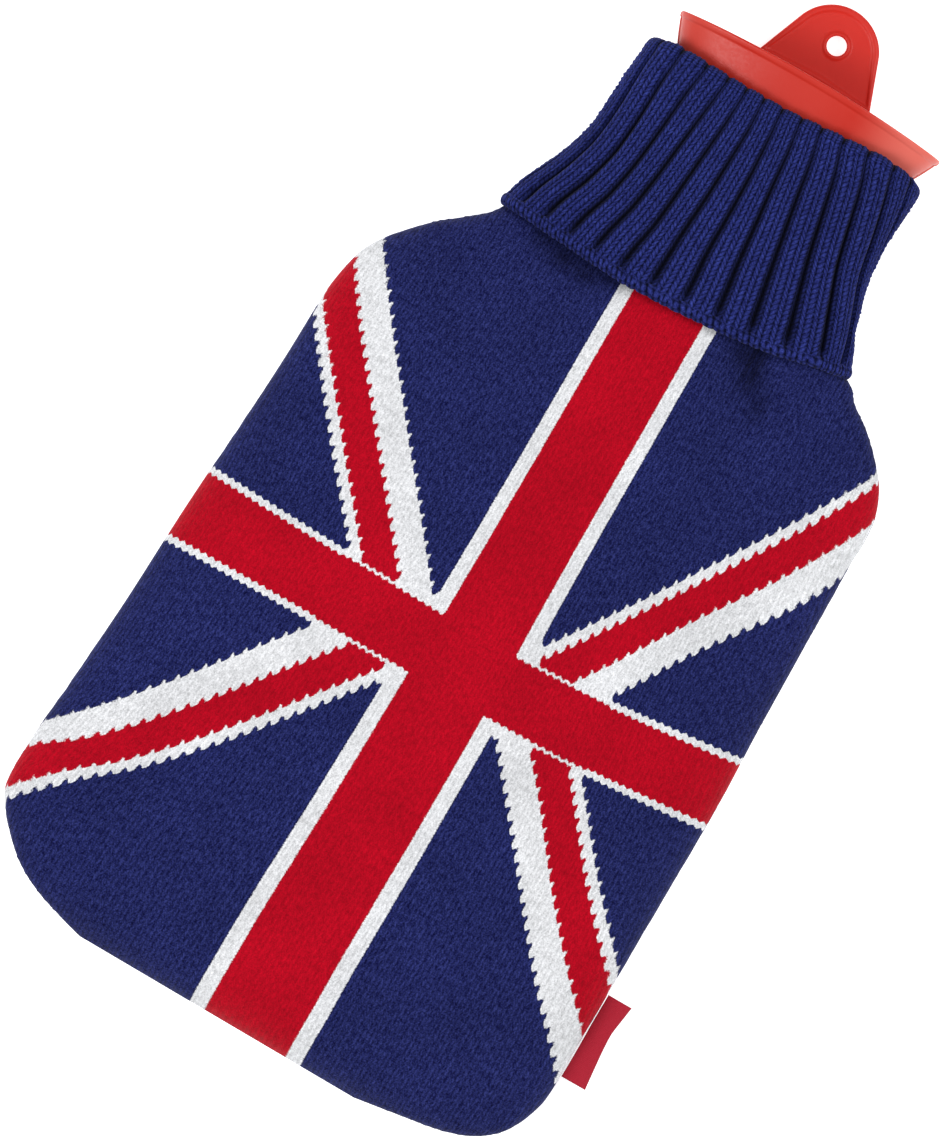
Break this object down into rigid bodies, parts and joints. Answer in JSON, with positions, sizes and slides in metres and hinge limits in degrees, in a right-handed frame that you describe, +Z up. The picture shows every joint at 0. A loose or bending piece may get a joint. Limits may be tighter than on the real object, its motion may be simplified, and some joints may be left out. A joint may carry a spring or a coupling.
{
  "type": "hot water bottle cover with bottle",
  "caption": "Knitted hot water bottle cover with a folded ribbed polo neck, fitted over a rubber bottle with a filling funnel and a hanging tab.",
  "frame": {"origin": "under the middle of the whole object, on the surface that it lies on", "axes": "+Z up through the front of the cover, +Y along the bottle towards its neck, +X to the right as the front is seen"},
  "size_m": [0.2194, 0.3973, 0.0432],
  "materials": {
    "front_knit": "acrylic stocking stitch in navy, red and white yarn",
    "back_knit": "acrylic stocking stitch in navy yarn",
    "rib_knit": "acrylic rib knit in navy yarn",
    "woven_tape": "plain red woven tape",
    "bottle_rubber": "moulded red rubber, semi gloss",
    "stopper_plastic": "moulded red plastic"
  },
  "bodies": {
    "root": {"cover_front": "front_knit", "cover_back": "back_knit", "polo_neck": "rib_knit", "side_label": "woven_tape", "bottle_body": "bottle_rubber", "bottle_funnel": "bottle_rubber", "bottle_tab": "bottle_rubber", "bottle_stopper": "stopper_plastic"}
  },
  "joints": []
}
